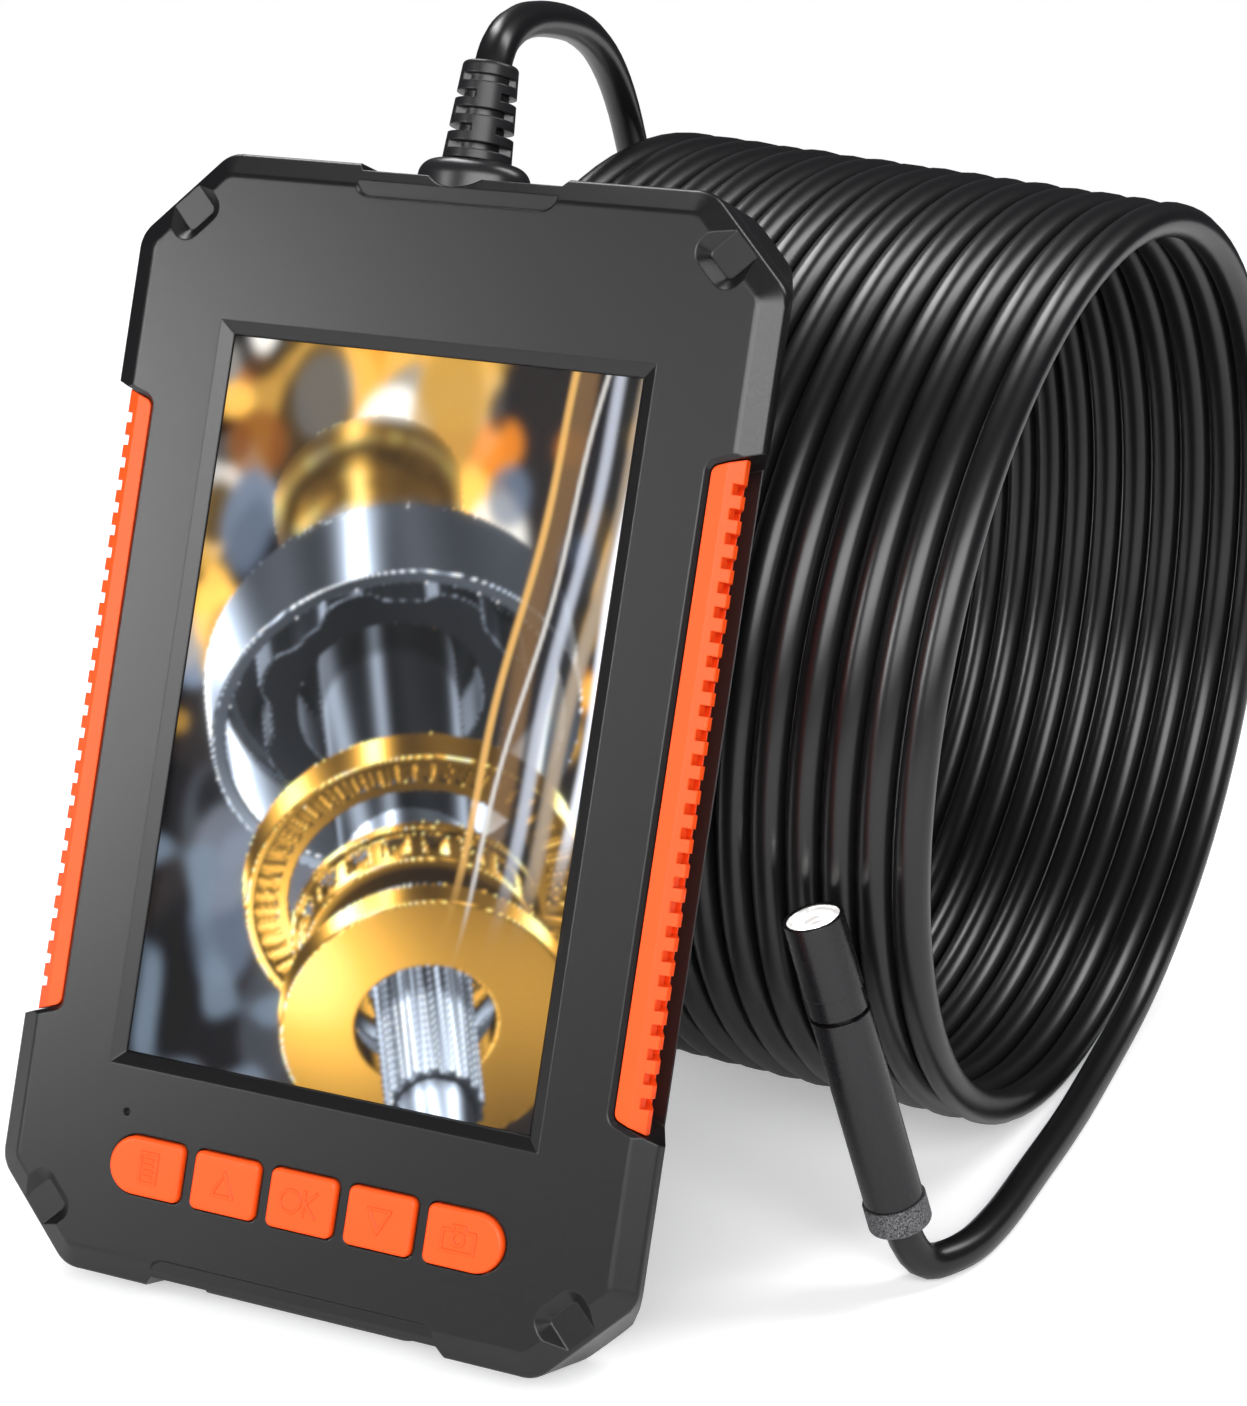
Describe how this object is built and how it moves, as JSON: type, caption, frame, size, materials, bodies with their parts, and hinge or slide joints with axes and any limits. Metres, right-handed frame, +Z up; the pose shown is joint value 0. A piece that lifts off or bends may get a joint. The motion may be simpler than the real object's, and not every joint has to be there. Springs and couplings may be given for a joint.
{
  "type": "inspection camera",
  "caption": "Handheld inspection camera: rugged screen unit with rubber side grips, a row of keys, a coiled stiff cable and a lit metal probe head.",
  "frame": {"origin": "on the surface it stands on, under the middle of the screen unit's bounding box", "axes": "+X to the unit's right as its screen is read, +Y to the back, towards the coil, +Z up"},
  "size_m": [0.1288, 0.185, 0.159],
  "materials": {
    "housing": "satin moulded ABS, fine texture",
    "grip_rubber": "moulded orange silicone",
    "key_rubber": "moulded orange silicone keys",
    "seal_rubber": "grey silicone cord",
    "foam": "black adhesive foam",
    "window_glass": "clear hardened cover",
    "display": "lit colour display panel",
    "tray_steel": "folded steel tray",
    "screw_steel": "black zinc screws",
    "board": "green solder mask",
    "switch_metal": "dome switches",
    "microphone_can": "pressed can",
    "battery_wrap": "foil pouch cell",
    "socket_steel": "plated steel shell",
    "card_plastic": "memory card",
    "cover_rubber": "black rubber flap",
    "gland_plastic": "polished black nylon",
    "nut_brass": "brass nut",
    "cable_jacket": "smooth black PVC jacket",
    "probe_metal": "black polished steel",
    "collar_metal": "grey bead-blasted ring",
    "probe_glass": "clear lens cover",
    "lamp_white": "lit white lamps",
    "lens_black": "anodised lens barrel"
  },
  "bodies": {
    "root": {"front_shell": "housing", "rear_shell": "housing", "left_grip": "grip_rubber", "right_grip": "grip_rubber", "case_seal": "seal_rubber", "window_seal": "foam", "battery_pad": "foam", "display_window": "window_glass", "display_panel": "display", "display_tray": "tray_steel", "shell_screws": "screw_steel", "board_screws": "screw_steel", "main_board": "board", "lamp_board": "board", "sensor_board": "board", "dome_switches": "switch_metal", "microphone": "microphone_can", "battery": "battery_wrap", "usb_socket": "socket_steel", "card_socket": "socket_steel", "memory_card": "card_plastic", "cable_gland": "gland_plastic", "strain_relief": "gland_plastic", "gland_nut": "nut_brass", "cable_lead": "cable_jacket", "cable_coil": "cable_jacket", "cable_tail": "cable_jacket", "probe_barrel": "probe_metal", "probe_cap": "probe_metal", "probe_collar": "collar_metal", "probe_window": "probe_glass", "probe_lamps": "lamp_white", "lens_barrel": "lens_black"},
    "key_menu": {"key_menu": "key_rubber"},
    "key_up": {"key_up": "key_rubber"},
    "key_ok": {"key_ok": "key_rubber"},
    "key_down": {"key_down": "key_rubber"},
    "key_capture": {"key_capture": "key_rubber"},
    "port_cover": {"port_cover": "cover_rubber"}
  },
  "joints": [
    {"name": "key_menu_press", "type": "slide", "parent": "root", "child": "key_menu", "axis": [0, 0.9285, -0.3714], "range_m": [0, 0.0006], "stiffness_N_per_m": 900},
    {"name": "key_up_press", "type": "slide", "parent": "root", "child": "key_up", "axis": [0, 0.9285, -0.3714], "range_m": [0, 0.0006], "stiffness_N_per_m": 900},
    {"name": "key_ok_press", "type": "slide", "parent": "root", "child": "key_ok", "axis": [0, 0.9285, -0.3714], "range_m": [0, 0.0006], "stiffness_N_per_m": 900},
    {"name": "key_down_press", "type": "slide", "parent": "root", "child": "key_down", "axis": [0, 0.9285, -0.3714], "range_m": [0, 0.0006], "stiffness_N_per_m": 900},
    {"name": "key_capture_press", "type": "slide", "parent": "root", "child": "key_capture", "axis": [0, 0.9285, -0.3714], "range_m": [0, 0.0006], "stiffness_N_per_m": 900},
    {"name": "port_cover_hinge", "type": "hinge", "parent": "root", "child": "port_cover", "pos_m": [0, -0.02987, 0.00391], "axis": [-1, 0, 0], "range_deg": [0, 110]}
  ]
}
